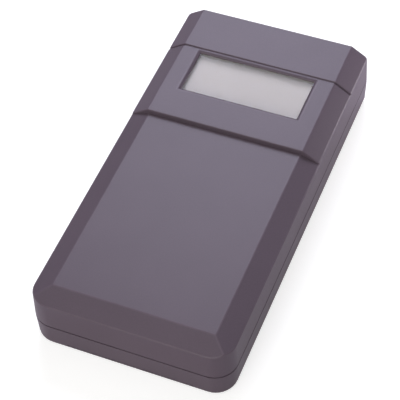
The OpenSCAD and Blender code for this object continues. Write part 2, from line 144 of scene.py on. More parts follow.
def plain_copy(shaped, name):
    """A plain mesh of an object with its modifiers applied. The shaped object is removed."""
    evaluated = shaped.evaluated_get(bpy.context.evaluated_depsgraph_get())
    mesh = bpy.data.meshes.new_from_object(evaluated)
    bpy.data.objects.remove(shaped)
    mesh.name = name
    return link(name, mesh)


def combine(shaped, tool, operation):
    """Cuts, joins or trims one solid by another. The tool is removed."""
    step = shaped.modifiers.new("combine", "BOOLEAN")
    step.operation = operation
    step.object = tool
    step.solver = "EXACT"
    result = plain_copy(shaped, shaped.name)
    bpy.data.objects.remove(tool)
    return result


def from_bmesh(name, bm):
    """An object with the mesh that bm holds, and slots for its plain, rounded and polished faces."""
    mesh = bpy.data.meshes.new(name)
    bm.to_mesh(mesh)
    bm.free()
    for _ in (PLAIN, ROUNDED, POLISHED):
        mesh.materials.append(None)
    return link(name, mesh)


def plan_ring(inset, height):
    """The case's plan outline at a height, set in by inset, with its four round corners as arcs."""
    points = []
    for side, end, radius, start in ((1, -1, NEAR_RADIUS, -90), (1, 1, FAR_RADIUS, 0),
                                     (-1, 1, FAR_RADIUS, 90), (-1, -1, NEAR_RADIUS, 180)):
        centre = max(radius, inset + LEAST_RADIUS)
        for step in range(ARC_STEPS + 1):
            angle = math.radians(start + 90 * step / ARC_STEPS)
            points.append((side * (HALF_WIDTH - centre) + (centre - inset) * math.cos(angle),
                           end * (HALF_LENGTH - centre) + (centre - inset) * math.sin(angle), height))
    return points


def draft_inset(height):
    """How far the drafted walls have come in at a height. The case is widest at the parting line."""
    return abs(height - SPLIT_HEIGHT) * math.tan(DRAFT) + SKIN


def arc(steps, start, end):
    """Angles from start to end in degrees, as radians."""
    return [math.radians(start + (end - start) * i / steps) for i in range(steps + 1)]


def solid_through(name, rings, mark=PLAIN):
    """A closed solid through rings of points, with every face in the slot that mark says."""
    bm = bmesh.new()
    loops = [[bm.verts.new(point) for point in ring] for ring in rings]
    count = len(loops[0])
    for low, high in zip(loops, loops[1:]):
        for i in range(count):
            j = (i + 1) % count
            bm.faces.new((low[i], low[j], high[j], high[i]))
    bm.faces.new(loops[0][::-1])
    bm.faces.new(loops[-1])
    bmesh.ops.recalc_face_normals(bm, faces=bm.faces)
    for face in bm.faces:
        face.material_index = mark
    return from_bmesh(name, bm)


def lofted(name, profile):
    """A closed solid with the case's plan, from a list of insets and heights going up."""
    return solid_through(name, [plan_ring(inset, height) for inset, height in profile])


def base_envelope():
    """The outside of the base as a solid, with a round foot and its half of the shadow gap."""
    foot_in = draft_inset(FOOT_ROUND) + FOOT_ROUND
    foot = [(foot_in - FOOT_ROUND * math.sin(t), SKIN + FOOT_ROUND * (1 - math.cos(t)))
            for t in arc(8, 0, 90)]
    edge = SPLIT_HEIGHT - GAP_HEIGHT / 2
    wall = draft_inset(edge - LIP_ROUND)
    lip = [(wall + LIP_ROUND * (1 - math.cos(t)), edge - LIP_ROUND * (1 - math.sin(t)))
           for t in arc(6, 0, 90)]
    gap = [(wall + GAP_DEPTH, edge), (wall + GAP_DEPTH, 2 * SPLIT_HEIGHT)]
    return lofted("base_envelope", foot + lip + gap)


def cad_copy(node, name):
    """A merged copy of a CAD node's mesh, with its flat faces whole again."""
    bm = bmesh.new()
    bm.from_mesh(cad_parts[node].data)
    bmesh.ops.remove_doubles(bm, verts=bm.verts, dist=2 * MERGE_DISTANCE)
    bmesh.ops.dissolve_limit(bm, angle_limit=math.radians(0.3), verts=bm.verts, edges=bm.edges)
    for face in bm.faces:
        face.material_index = PLAIN
    return from_bmesh(name, bm)


def assembly_tree():
    """A search tree over every CAD node, to tell outside edges from inside ones."""
    points, faces = [], []
    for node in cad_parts.values():
        first = len(points)
        points += [v.co.copy() for v in node.data.vertices]
        faces += [[first + i for i in face.vertices] for face in node.data.polygons]
    return BVHTree.FromPolygons(points, faces)


assembly = assembly_tree()


def soften(shaped, radius, everywhere=False):
    """Rounds a solid's sharp outer edges, as a tool leaves them. Narrow faces keep part of their width,
    and the new faces are marked as rounded, for wear."""
    # Steep edges need a larger angle, so that the facets of round corners stay as they are
    sharp, steep_sharp = math.radians(18), math.radians(45)
    narrow_share, step_out = 0.35, 0.05 * MM
    bm = bmesh.new()
    bm.from_mesh(shaped.data)
    bm.normal_update()
    share = bm.edges.layers.float.new("bevel_weight_edge")
    for edge in bm.edges:
        along = (edge.verts[1].co - edge.verts[0].co).normalized()
        limit = steep_sharp if abs(along.z) > 0.5 else sharp
        if len(edge.link_faces) != 2 or edge.calc_face_angle_signed(0) < limit:
            continue
        middle = (edge.verts[0].co + edge.verts[1].co) / 2
        out = (edge.link_faces[0].normal + edge.link_faces[1].normal).normalized()
        if not everywhere and assembly.ray_cast(middle + out * step_out, out)[0]:
            continue
        depth = min(
            max((v.co - middle - along * along.dot(v.co - middle)).length for v in face.verts)
            for face in edge.link_faces)
        edge[share] = min(radius, narrow_share * depth) / radius
    bm.to_mesh(shaped.data)
    bm.free()
    rounding = shaped.modifiers.new("rounding", "BEVEL")
    rounding.limit_method = "WEIGHT"
    rounding.width = radius
    rounding.segments = 3
    rounding.use_clamp_overlap = False
    rounding.material = ROUNDED
    return plain_copy(shaped, shaped.name)


def finished(shaped, name, material, body, node):
    """The finished piece: smooth but for its sharp inner edges, worn where it is rounded, and riding on
    its body in place of its CAD node."""
    crease = math.radians(32)
    bm = bmesh.new()
    bm.from_mesh(shaped.data)
    bmesh.ops.remove_doubles(bm, verts=bm.verts, dist=MERGE_DISTANCE)
    bmesh.ops.dissolve_degenerate(bm, edges=bm.edges, dist=MERGE_DISTANCE)
    for edge in bm.edges:
        edge.smooth = len(edge.link_faces) == 2 and edge.calc_face_angle(0) < crease
    for face in bm.faces:
        face.smooth = True
    bm.to_mesh(shaped.data)
    bm.free()
    shading = shaped.modifiers.new("shading", "WEIGHTED_NORMAL")
    shading.keep_sharp = True
    piece = plain_copy(shaped, name)
    for slot_index, mark in ((ROUNDED, "rounded_edge"), (POLISHED, "polished")):
        marks = piece.data.attributes.new(mark, "FLOAT", "FACE")
        for face in piece.data.polygons:
            marks.data[face.index].value = face.material_index == slot_index
    for face in piece.data.polygons:
        face.material_index = PLAIN
    piece.data.materials.clear()
    piece.data.materials.append(material)
    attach(piece, body)
    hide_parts(node)
    return piece


case_abs = moulded_abs("moulded_abs", CASE_COLOUR)
base_block = combine(cad_copy("base_shell", "base_block"), base_envelope(), "INTERSECT")
finished(soften(base_block, SHELL_RADIUS), "base", case_abs, "case", "base_shell")


# Contact board. A strip of paper-based phenolic laminate that stands in the end of the battery bay and
# carries the two snap contacts. Sawn from sheet, so it shows the paper's fibres.
FIBRE_COLOUR = "#8b6a44"


def phenolic_laminate(name, colour):
    """Pressed paper and resin: brown, with short fibres lying along the sheet and a dull sheen."""
    fibre_width, fibre_length = 0.25 * MM, 4 * MM
    material, tree, place = new_material(name)
    stretched = add(tree, "ShaderNodeMapping", {
        "Vector": place, "Scale": (1 / fibre_width, 1 / fibre_length, 1 / fibre_width)})
    fibres = add(tree, "ShaderNodeTexNoise", {"Vector": stretched.outputs[0], "Scale": 1.0, "Detail": 3.0})
    tone = add(tree, "ShaderNodeMapRange", {
        "Value": fibres.outputs[0], "From Min": 0.3, "From Max": 0.7, "To Min": 0.8, "To Max": 1.15})
    shade = add(tree, "ShaderNodeHueSaturation", {"Color": linear(colour), "Value": tone.outputs[0]})
    relief = add(tree, "ShaderNodeBump", {
        "Strength": 0.2, "Distance": 0.02 * MM, "Height": fibres.outputs[0]})
    sheet = add(tree, "ShaderNodeBsdfPrincipled", {
        "Base Color": shade.outputs[0], "Roughness": 0.5, "IOR": 1.55, "Normal": relief.outputs[0]})
    add(tree, "ShaderNodeOutputMaterial", {"Surface": sheet.outputs[0]})
    return material


def finish_node(node, material):
    """Gives a CAD node that stays in view its finished material."""
    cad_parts[node].data.materials.clear()
    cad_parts[node].data.materials.append(material)


finish_node("contact_board", phenolic_laminate("phenolic_paper_laminate", FIBRE_COLOUR))


# Battery contacts. A snap stud and a snap socket, pressed from brass and nickel plated, riveted through
# the contact board so that they meet the battery's own pair.
NICKEL_COLOUR = "#b9b5ab"


def plated_metal(name, colour, roughness):
    """Bright plating over pressed metal: grey with a faint cloudiness and fine rubbing marks."""
    cloud_size, rub_size = 3 * MM, 0.4 * MM
    material, tree, place = new_material(name)
    cloud = add(tree, "ShaderNodeTexNoise", {"Vector": place, "Scale": 1 / cloud_size, "Detail": 3.0})
    rub = add(tree, "ShaderNodeTexNoise", {"Vector": place, "Scale": 1 / rub_size, "Detail": 2.0})
    tone = add(tree, "ShaderNodeMapRange", {
        "Value": cloud.outputs[0], "From Min": 0.3, "From Max": 0.7, "To Min": 0.9, "To Max": 1.08})
    shade = add(tree, "ShaderNodeHueSaturation", {"Color": linear(colour), "Value": tone.outputs[0]})
    dulling = add(tree, "ShaderNodeMapRange", {
        "Value": rub.outputs[0], "From Min": 0.3, "From Max": 0.7,
        "To Min": roughness - 0.08, "To Max": roughness + 0.1})
    metal = add(tree, "ShaderNodeBsdfPrincipled", {
        "Base Color": shade.outputs[0], "Metallic": 1.0, "Roughness": dulling.outputs[0]})
    add(tree, "ShaderNodeOutputMaterial", {"Surface": metal.outputs[0]})
    return material


nickel = plated_metal("nickel_plated_brass", NICKEL_COLOUR, 0.28)
finish_node("contact_stud", nickel)
finish_node("contact_socket", nickel)


# Battery door. A thin ABS moulding with a flange along each side, which slides out of the near end over
# two ledges in the base. Five grooves across it give the thumb a grip.
DOOR_COLOUR = "#5d525d"
DOOR_RADIUS = 0.25 * MM

door_abs = moulded_abs("moulded_abs_door", DOOR_COLOUR)
door_block = soften(cad_copy("battery_door", "door_block"), DOOR_RADIUS)
door_block = combine(door_block, base_envelope(), "INTERSECT")
finished(door_block, "door", door_abs, "battery_door", "battery_door")


# End panel. A flat ABS panel held between the far wall and ribs in both mouldings, and cut by the user
# for sockets. It stands a wall's thickness behind the opening in the far end.
PANEL_RADIUS = 0.2 * MM

panel_block = soften(cad_copy("end_panel", "panel_block"), PANEL_RADIUS, everywhere=True)
finished(panel_block, "panel", case_abs, "case", "end_panel")


# Display board. Glass-fibre laminate under green solder mask, which carries the display's drivers and
# hangs from four small posts in the cover.
MASK_COLOUR = "#2f6a44"


def solder_masked_laminate(name, colour):
    """Green lacquer over woven glass: glossy, with the weave showing faintly through."""
    thread_spacing, stain_size = 0.5 * MM, 9 * MM
    material, tree, place = new_material(name)
    warp = add(tree, "ShaderNodeTexWave", {
        "Vector": place, "Scale": math.tau / 20 / thread_spacing}, bands_direction="X")
    weft = add(tree, "ShaderNodeTexWave", {
        "Vector": place, "Scale": math.tau / 20 / thread_spacing}, bands_direction="Y")
    weave = add(tree, "ShaderNodeMath", {0: warp.outputs[1], 1: weft.outputs[1]}, operation="MULTIPLY")
    stain = add(tree, "ShaderNodeTexNoise", {"Vector": place, "Scale": 1 / stain_size, "Detail": 2.0})
    tone = add(tree, "ShaderNodeMapRange", {
        "Value": stain.outputs[0], "From Min": 0.3, "From Max": 0.7, "To Min": 0.88, "To Max": 1.1})
    shade = add(tree, "ShaderNodeHueSaturation", {"Color": linear(colour), "Value": tone.outputs[0]})
    relief = add(tree, "ShaderNodeBump", {
        "Strength": 0.15, "Distance": 0.02 * MM, "Height": weave.outputs[0]})
    lacquer = add(tree, "ShaderNodeBsdfPrincipled", {
        "Base Color": shade.outputs[0], "Roughness": 0.3, "IOR": 1.52, "Normal": relief.outputs[0]})
    add(tree, "ShaderNodeOutputMaterial", {"Surface": lacquer.outputs[0]})
    return material


finish_node("display_board", solder_masked_laminate("solder_masked_glass_laminate", MASK_COLOUR))


# Driver chips. Two bare chips bonded under the board, each sealed with a poured drop of black epoxy.
RESIN_COLOUR = "#1c1b1e"


def poured_epoxy(name, colour):
    """Black casting resin: a smooth shine with slow ripples from the pour and a little dust."""
    ripple_size, dust_size = 2.5 * MM, 0.3 * MM
    material, tree, place = new_material(name)
    ripple = add(tree, "ShaderNodeTexNoise", {"Vector": place, "Scale": 1 / ripple_size, "Detail": 1.0})
    dust = add(tree, "ShaderNodeTexNoise", {"Vector": place, "Scale": 1 / dust_size, "Detail": 2.0})
    tone = add(tree, "ShaderNodeMapRange", {
        "Value": dust.outputs[0], "From Min": 0.4, "From Max": 0.8, "To Min": 0.9, "To Max": 1.6})
    shade = add(tree, "ShaderNodeHueSaturation", {"Color": linear(colour), "Value": tone.outputs[0]})
    relief = add(tree, "ShaderNodeBump", {
        "Strength": 0.3, "Distance": 0.05 * MM, "Height": ripple.outputs[0]})
    resin = add(tree, "ShaderNodeBsdfPrincipled", {
        "Base Color": shade.outputs[0], "Roughness": 0.22, "IOR": 1.56, "Normal": relief.outputs[0]})
    add(tree, "ShaderNodeOutputMaterial", {"Surface": resin.outputs[0]})
    return material


finish_node("display_drivers", poured_epoxy("poured_black_epoxy", RESIN_COLOUR))


# Contact strips. Two bars of layered silicone rubber, carbon-filled and plain in turn, pressed between
# the board and the display's ledges so that each dark layer joins one pad to one track.
STRIP_DARK, STRIP_PALE = "#2a2628", "#c99aa6"


def layered_silicone(name, dark, pale):
    """Stacked rubber sheets seen on edge: fine dark and pink stripes across the strip, matt."""
    # The real layers repeat every 0.2 mm, drawn every 1 mm so that they show
    layer_spacing = 1 * MM
    material, tree, place = new_material(name)
    layers = add(tree, "ShaderNodeTexWave", {
        "Vector": place, "Scale": math.tau / 20 / layer_spacing, "Distortion": 0.4}, bands_direction="X")
    shade = add(tree, "ShaderNodeMix", {
        0: layers.outputs[1], 6: linear(dark), 7: linear(pale)}, data_type="RGBA")
    rubber = add(tree, "ShaderNodeBsdfPrincipled", {
        "Base Color": shade.outputs[2], "Roughness": 0.7, "IOR": 1.43})
    add(tree, "ShaderNodeOutputMaterial", {"Surface": rubber.outputs[0]})
    return material


finish_node("display_strips", layered_silicone("layered_silicone_rubber", STRIP_DARK, STRIP_PALE))


# Display glass. Two glass plates with liquid crystal between them and a polarising film on each face.
# With no signal it shows the pale grey of the reflector film behind it.
DISPLAY_COLOUR = "#bdb0a6"


def reflective_display(name, colour):
    """A blank reflective display: pale grey, with its reflector's fine sparkle under a smooth film."""
    # The reflector's grain is about 0.05 mm, drawn ten times as coarse so that it shows
    sparkle_size, cloud_size = 0.5 * MM, 14 * MM
    material, tree, place = new_material(name)
    sparkle = add(tree, "ShaderNodeTexNoise", {"Vector": place, "Scale": 1 / sparkle_size, "Detail": 2.0})
    cloud = add(tree, "ShaderNodeTexNoise", {"Vector": place, "Scale": 1 / cloud_size, "Detail": 1.0})
    grain = add(tree, "ShaderNodeMapRange", {
        "Value": sparkle.outputs[0], "From Min": 0.3, "From Max": 0.7, "To Min": 0.975, "To Max": 1.025})
    tone = add(tree, "ShaderNodeMapRange", {
        "Value": cloud.outputs[0], "From Min": 0.3, "From Max": 0.7, "To Min": 0.98, "To Max": 1.02})
    value = add(tree, "ShaderNodeMath", {0: grain.outputs[0], 1: tone.outputs[0]}, operation="MULTIPLY")
    shade = add(tree, "ShaderNodeHueSaturation", {"Color": linear(colour), "Value": value.outputs[0]})
    film = add(tree, "ShaderNodeBsdfPrincipled", {
        "Base Color": shade.outputs[0], "Roughness": 0.55, "IOR": 1.49, "Specular IOR Level": 0.2})
    add(tree, "ShaderNodeOutputMaterial", {"Surface": film.outputs[0]})
    return material


finish_node("display_glass", reflective_display("reflective_display_film", DISPLAY_COLOUR))


# Display frame. A tray of thin tinned steel folded over the glass, with tabs through the board that are
# twisted to hold the stack together.
TIN_COLOUR = "#a9abb0"

finish_node("display_frame", plated_metal("tinned_steel", TIN_COLOUR, 0.38))


# Display gasket. A die-cut frame of black closed-cell foam between the hood and the display's frame,
# which keeps dust off the back of the lens.
FOAM_COLOUR = "#2b2a2d"


def closed_cell_foam(name, colour):
    """Skinless foam: matt black with the small round cells that the die has cut open."""
    cell_size = 0.5 * MM
    material, tree, place = new_material(name)
    cells = add(tree, "ShaderNodeTexVoronoi", {"Vector": place, "Scale": 1 / cell_size})
    # Each cell is darker towards its middle, where the bump makes its hollow deepest: painted shade in the
    # pits
    tone = add(tree, "ShaderNodeMapRange", {
        "Value": cells.outputs["Distance"], "From Min": 0.0, "From Max": 0.7,
        "To Min": 0.7, "To Max": 1.2})
    shade = add(tree, "ShaderNodeHueSaturation", {"Color": linear(colour), "Value": tone.outputs[0]})
    relief = add(tree, "ShaderNodeBump", {
        "Strength": 0.6, "Distance": 0.1 * MM, "Height": cells.outputs["Distance"]})
    foam = add(tree, "ShaderNodeBsdfPrincipled", {
        "Base Color": shade.outputs[0], "Roughness": 0.9, "IOR": 1.5, "Normal": relief.outputs[0]})
    add(tree, "ShaderNodeOutputMaterial", {"Surface": foam.outputs[0]})
    return material


finish_node("display_gasket", closed_cell_foam("closed_cell_foam", FOAM_COLOUR))


# Display screws. Four small self-tapping pan-head screws of zinc-plated steel, driven up through the
# board into the cover's posts.
ZINC_COLOUR = "#a7a9ad"


def pan_head_tree():
    """Node tree that makes a pan-head screw with a rolled thread and a cross recess, and sets one with
    its head down at each point of a mesh."""
    around, rows, head_rows = 24, 120, 12
    # The head's side is between a round one, at 1, and a square one, at 0
    roundness, crease_angle = 0.45, math.radians(35)
    # The cross recess, as shares of the head's radius and height
    cross_length, cross_width, cross_depth = 1.1, 0.26, 1.2
    tree = bpy.data.node_groups.new("pan_head_screws", "GeometryNodeTree")
    tree.interface.new_socket("Places", in_out="INPUT", socket_type="NodeSocketGeometry")
    for name in ("Shank Radius", "Shank Length", "Head Radius", "Head Height", "Thread Pitch",
                 "Thread Depth"):
        tree.interface.new_socket(name, in_out="INPUT", socket_type="NodeSocketFloat")
    tree.interface.new_socket("Metal", in_out="INPUT", socket_type="NodeSocketMaterial")
    tree.interface.new_socket("Screws", in_out="OUTPUT", socket_type="NodeSocketGeometry")
    given = add(tree, "NodeGroupInput").outputs

    def calc(operation, *values):
        """The result of a sum on sockets or numbers."""
        return add(tree, "ShaderNodeMath", dict(enumerate(values)), operation=operation).outputs[0]

    def turned(grid, radius, height, angle):
        """A grid wrapped round the Z axis, with its seam and poles welded."""
        point = add(tree, "ShaderNodeCombineXYZ", {
            "X": calc("MULTIPLY", radius, calc("COSINE", angle)),
            "Y": calc("MULTIPLY", radius, calc("SINE", angle)), "Z": height})
        wrapped = add(tree, "GeometryNodeSetPosition", {
            "Geometry": grid, "Position": point.outputs[0]})
        return add(tree, "GeometryNodeMergeByDistance", {
            "Geometry": wrapped.outputs[0], "Distance": 2 * MERGE_DISTANCE}).outputs[0]

    position = add(tree, "GeometryNodeInputPosition")
    spot = add(tree, "ShaderNodeSeparateXYZ", {0: position.outputs[0]}).outputs
    turn = calc("ADD", spot["X"], 0.5)
    climb = calc("ADD", spot["Y"], 0.5)
    angle = calc("MULTIPLY", turn, math.tau)

    # The thread winds up the shank, which narrows to a point and starts inside the head
    sheet = add(tree, "GeometryNodeMeshGrid", {
        "Size X": 1.0, "Size Y": 1.0, "Vertices X": around + 1, "Vertices Y": rows + 1})
    height = calc("MULTIPLY", climb, given["Shank Length"])
    winding = calc("SUBTRACT", calc("DIVIDE", height, given["Thread Pitch"]), turn)
    ridge = calc("PINGPONG", winding, 0.5)
    groove = calc("MULTIPLY", calc("MULTIPLY", ridge, 2.0), given["Thread Depth"])
    left = calc("SUBTRACT", given["Shank Length"], height)
    point_share = calc("MINIMUM", calc("DIVIDE", left, given["Shank Radius"]), 1.0)
    start_share = calc("MINIMUM", calc("MULTIPLY", climb, rows), 1.0)
    radius = calc("MULTIPLY", calc("SUBTRACT", given["Shank Radius"], groove),
                  calc("MULTIPLY", point_share, start_share))
    shank = turned(sheet.outputs[0], radius, height, angle)

    # The head is a rounded disc that hangs below its seat
    disc = add(tree, "GeometryNodeMeshGrid", {
        "Size X": 1.0, "Size Y": 1.0, "Vertices X": around + 1, "Vertices Y": head_rows + 2})
    lean = add(tree, "ShaderNodeMapRange", {
        "Value": climb, "From Min": 1 / (head_rows + 1), "From Max": 1.0,
        "To Min": 0.0, "To Max": math.pi / 2})
    on_rim = calc("GREATER_THAN", climb, 0.5 / (head_rows + 1))
    head_radius = calc("MULTIPLY", calc("MULTIPLY", given["Head Radius"], on_rim),
                       calc("POWER", calc("MAXIMUM", calc("COSINE", lean.outputs[0]), 0.0), roundness))
    drop = calc("POWER", calc("MAXIMUM", calc("SINE", lean.outputs[0]), 0.0), roundness)
    head_height = calc("MULTIPLY", calc("MULTIPLY", given["Head Height"], drop), -1.0)
    head = turned(disc.outputs[0], head_radius, head_height, calc("MULTIPLY", angle, -1.0))

    # The driver's cross is cut from below
    reach = calc("MULTIPLY", given["Head Radius"], cross_length)
    slot = calc("MULTIPLY", given["Head Radius"], cross_width)
    depth = calc("MULTIPLY", given["Head Height"], cross_depth)
    bars = []
    for length, width in ((reach, slot), (slot, reach)):
        size = add(tree, "ShaderNodeCombineXYZ", {"X": length, "Y": width, "Z": depth})
        bar = add(tree, "GeometryNodeMeshCube", {"Size": size.outputs[0]})
        low = add(tree, "ShaderNodeCombineXYZ", {"Z": calc("MULTIPLY", given["Head Height"], -1.0)})
        bars.append(add(tree, "GeometryNodeTransform", {
            "Geometry": bar.outputs[0], "Translation": low.outputs[0]}).outputs[0])
    cut = add(tree, "GeometryNodeMeshBoolean", {
        "Mesh 1": head, "Mesh 2": bars[0], "Self Intersection": True},
        operation="DIFFERENCE", solver="EXACT")
    tree.links.new(bars[1], cut.inputs["Mesh 2"])

    joined = add(tree, "GeometryNodeJoinGeometry", {"Geometry": cut.outputs[0]})
    tree.links.new(shank, joined.inputs[0])
    twist = add(tree, "FunctionNodeRandomValue", {
        "Min": (0.0, 0.0, 0.0), "Max": (0.0, 0.0, math.pi / 2), "Seed": 4}, data_type="FLOAT_VECTOR")
    placed = add(tree, "GeometryNodeInstanceOnPoints", {
        "Points": given["Places"], "Instance": joined.outputs[0], "Rotation": twist.outputs[0]})
    real = add(tree, "GeometryNodeRealizeInstances", {"Geometry": placed.outputs[0]})
    smooth = add(tree, "GeometryNodeSetShadeSmooth", {"Geometry": real.outputs[0], "Shade Smooth": True})
    bend = add(tree, "GeometryNodeInputMeshEdgeAngle")
    crease = calc("GREATER_THAN", bend.outputs[0], crease_angle)
    creased = add(tree, "GeometryNodeSetShadeSmooth", {
        "Geometry": smooth.outputs[0], "Selection": crease, "Shade Smooth": False}, domain="EDGE")
    dressed = add(tree, "GeometryNodeSetMaterial", {
        "Geometry": creased.outputs[0], "Material": given["Metal"]})
    add(tree, "NodeGroupOutput", {"Screws": dressed.outputs[0]})
    return tree


screw_tree = pan_head_tree()


def screw_set(node, name, metal, shank_radius, head_radius, head_height, pitch):
    """Four screws in place of a CAD node, at the corners that its box gives."""
    thread_share = 0.2
    low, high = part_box(node)
    seat = low.z + head_height
    spots = [(x, y, seat)
             for x in (low.x + head_radius, high.x - head_radius)
             for y in (low.y + head_radius, high.y - head_radius)]
    places = bpy.data.meshes.new(name + "_places")
    places.from_pydata(spots, [], [])
    holder = link(name + "_shaped", places)
    making = holder.modifiers.new("screws", "NODES")
    making.node_group = screw_tree
    given = {
        "Shank Radius": shank_radius, "Shank Length": high.z - seat, "Head Radius": head_radius,
        "Head Height": head_height, "Thread Pitch": pitch, "Thread Depth": thread_share * shank_radius,
        "Metal": metal}
    for socket in screw_tree.interface.items_tree:
        if socket.in_out == "INPUT" and socket.name in given:
            making[socket.identifier] = given[socket.name]
    screws = plain_copy(holder, name)
    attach(screws, "case")
    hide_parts(node)


zinc = plated_metal("zinc_plated_steel", ZINC_COLOUR, 0.32)
screw_set("display_screws", "small_screws", zinc, shank_radius=1.0 * MM, head_radius=2.0 * MM,
          head_height=1.3 * MM, pitch=0.8 * MM)


# Lens. A sheet of clear acrylic behind the window's edge, cut to size, with its cut edges eased. It lies
# in a pocket in the cover and the gasket presses on its rim.
LENS_RADIUS = 0.15 * MM
LENS_TINT, LENS_SHEEN = "#f6f8f8", "#6e6e72"


def clear_acrylic(name, tint, sheen):
    """Cast acrylic sheet: colourless and glossy, with the faint haze of fine cleaning marks. Lamps shine
    through it, as they do through the real thin sheet."""
    wipe_size = 2 * MM
    material, tree, place = new_material(name)
    wipes = add(tree, "ShaderNodeTexNoise", {"Vector": place, "Scale": 1 / wipe_size, "Detail": 4.0})
    haze = add(tree, "ShaderNodeMapRange", {
        "Value": wipes.outputs[0], "From Min": 0.3, "From Max": 0.7, "To Min": 0.01, "To Max": 0.06})
    sheet = add(tree, "ShaderNodeBsdfPrincipled", {
        "Base Color": linear(tint), "Roughness": haze.outputs[0], "IOR": 1.49, "Transmission Weight": 1.0,
        "Specular Tint": linear(sheen)})
    clear = add(tree, "ShaderNodeBsdfTransparent", {"Color": linear(tint)})
    rays = add(tree, "ShaderNodeLightPath").outputs
    lit = add(tree, "ShaderNodeMath", {
        0: rays["Is Shadow Ray"], 1: rays["Is Diffuse Ray"]}, operation="MAXIMUM")
    seen = add(tree, "ShaderNodeMixShader", {0: lit.outputs[0], 1: sheet.outputs[0], 2: clear.outputs[0]})
    add(tree, "ShaderNodeOutputMaterial", {"Surface": seen.outputs[0]})
    return material


acrylic = clear_acrylic("clear_acrylic", LENS_TINT, LENS_SHEEN)
lens_block = soften(cad_copy("display_window", "lens_block"), LENS_RADIUS, everywhere=True)
finished(lens_block, "lens", acrylic, "case", "display_window")


# Top cover. The upper half of the case, with the blank keypad face, the raised display hood, the bevelled
# sides and the window. Moulded in one piece from the same ABS as the base.
KEYPAD_HEIGHT = 30 * MM
HOOD_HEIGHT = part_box("top_cover")[1].z
# The edges are as round as the groove's narrow walls allow
COVER_RADIUS = 0.5 * MM
# Each bevel's width and fall
KEYPAD_BEVEL, NEAR_BEVEL = (9.2 * MM, 3.8 * MM), (9.6 * MM, 3.8 * MM)
HOOD_BEVEL, WINDOW_BEVEL = (8.3 * MM, 5.6 * MM), (1.5 * MM, 0.9 * MM)
WINDOW_MIDDLE = sum(p.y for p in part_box("display_window")) / 2
WINDOW_LENGTH, WINDOW_WIDTH = 55 * MM, 23.8 * MM
HOOD_FRONT = 17.9 * MM
STEP_PLACE = WINDOW_MIDDLE - WINDOW_WIDTH / 2 - HOOD_FRONT
GROOVE_WIDTH, GROOVE_DEPTH = 1 * MM, 0.6 * MM
# The far end's opening: its width, and the heights of its lower and upper edges
PANEL_OPENING = (66 * MM, 5.5 * MM, 23.5 * MM)
# How far a cut runs past what it cuts, and a distance well outside the case
CUT_SPARE, FAR = 5 * MM, 200 * MM


def prism(name, outline, axis, start, end):
    """A solid with that outline, drawn along X or Y. The outline's points are (y, z) or (x, z)."""
    return solid_through(name, [
        [(place, a, z) if axis == "X" else (a, place, z) for a, z in outline] for place in (start, end)])


def roof_line(height, bevel, depth):
    """Top line across the case: a flat between two bevels, lowered square to itself by depth."""
    width, fall = bevel
    slope = fall / width
    x = HALF_WIDTH - width - depth * (math.hypot(1, slope) - 1) / slope
    z = height - depth
    return [(-FAR, z - slope * (FAR - x)), (-x, z), (x, z), (FAR, z - slope * (FAR - x))]


def over(line):
    """The outline of everything over a roof line."""
    return line + [(FAR, FAR), (-FAR, FAR)]


def window_tool():
    """The window's opening: a straight hole with four sloping sides above it, all polished."""
    run, fall = WINDOW_BEVEL
    rise = 1 * MM
    half_l, half_w = WINDOW_LENGTH / 2 + SKIN, WINDOW_WIDTH / 2 + SKIN
    out = run * (fall + rise) / fall
    foot, top = HOOD_HEIGHT - fall - SKIN, HOOD_HEIGHT + rise - SKIN
    rings = [
        [(x * (half_l + grown), WINDOW_MIDDLE + y * (half_w + grown), height)
         for x, y in ((-1, -1), (1, -1), (1, 1), (-1, 1))]
        for grown, height in ((0, SPLIT_HEIGHT), (0, foot), (out, top))]
    return solid_through("window_tool", rings, POLISHED)


def gap_tool():
    """A frame round the case, to cut the cover's half of the shadow gap."""
    gap_in = GAP_DEPTH + SKIN
    outside = lofted("gap_tool", [(-CUT_SPARE, 0), (-CUT_SPARE, SPLIT_HEIGHT + GAP_HEIGHT / 2)])
    inside = lofted("gap_core", [(gap_in, -CUT_SPARE), (gap_in, HOOD_HEIGHT)])
    return combine(outside, inside, "DIFFERENCE")


def cover_envelope():
    """The outside of the cover as a solid: drafted walls under a bevelled roof with a raised hood."""
    top = HOOD_HEIGHT + CUT_SPARE
    block = lofted("cover_envelope", [(SKIN, 0), (SKIN, SPLIT_HEIGHT), (draft_inset(top), top)])
    width, fall = NEAR_BEVEL
    slope = fall / width
    near_z = KEYPAD_HEIGHT - SKIN * math.hypot(1, slope)
    near_y = width - HALF_LENGTH
    near_line = [(-FAR, near_z - slope * (FAR + near_y)), (FAR, near_z + slope * (FAR - near_y)),
                 (FAR, 2 * FAR), (-FAR, 2 * FAR)]
    hood = roof_line(HOOD_HEIGHT, HOOD_BEVEL, SKIN)
    keypad = roof_line(KEYPAD_HEIGHT, KEYPAD_BEVEL, SKIN)
    groove_place = WINDOW_MIDDLE + WINDOW_WIDTH / 2 + WINDOW_BEVEL[0]
    groove = roof_line(HOOD_HEIGHT, HOOD_BEVEL, GROOVE_DEPTH + SKIN)
    opening_width, low, high = PANEL_OPENING
    across, low, high = opening_width / 2 + SKIN, low - SKIN, high + SKIN
    opening = [(-across, low), (across, low), (across, high), (-across, high)]
    tools = [
        prism("hood_tool", over(hood), "Y", -FAR, FAR),
        prism("keypad_tool", over(keypad), "Y", -FAR, STEP_PLACE + SKIN),
        prism("near_tool", near_line, "X", -FAR, FAR),
        prism("groove_tool", over(groove), "Y", groove_place - SKIN, groove_place + GROOVE_WIDTH + SKIN),
        prism("panel_tool", opening, "Y", HALF_LENGTH - CUT_SPARE, FAR),
        window_tool(),
    ]
    for tool in tools:
        block = combine(block, tool, "DIFFERENCE")
    return combine(soften(block, COVER_RADIUS, everywhere=True), gap_tool(), "DIFFERENCE")


